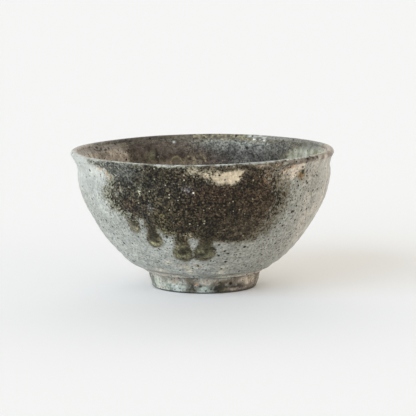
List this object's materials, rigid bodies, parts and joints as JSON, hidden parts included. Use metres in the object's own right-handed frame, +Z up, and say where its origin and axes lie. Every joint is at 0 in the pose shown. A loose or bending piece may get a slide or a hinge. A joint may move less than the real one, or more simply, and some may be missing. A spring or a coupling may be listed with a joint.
{
  "type": "tea bowl",
  "caption": "Hand-thrown stoneware tea bowl on a turned foot ring, with a slightly flared lip, a pale speckled glaze and dark wood ash melted down one side.",
  "frame": {"origin": "centre of the foot's standing face, on the bowl's axis", "axes": "+Z up along the bowl's axis; -Y is the front, the side that carries the ash curtain; +X is to the right seen from the front"},
  "size_m": [0.1248, 0.1248, 0.0656],
  "materials": {
    "bare_clay": "matte",
    "pale_glaze": "satin",
    "lining_glaze": "satin",
    "foot_glaze": "satin",
    "dark_ash": "satin",
    "olive_ash": "gloss"
  },
  "bodies": {
    "root": {"clay_body": "bare_clay", "foot_ring": "bare_clay", "outer_glaze": "pale_glaze", "inner_glaze": "lining_glaze", "foot_glaze": "foot_glaze", "ash_curtain": "dark_ash", "ash_run_far_left": "olive_ash", "ash_run_left": "olive_ash", "ash_run_middle": "olive_ash", "ash_run_right": "olive_ash", "inner_ash_curtain": "dark_ash"}
  },
  "joints": []
}
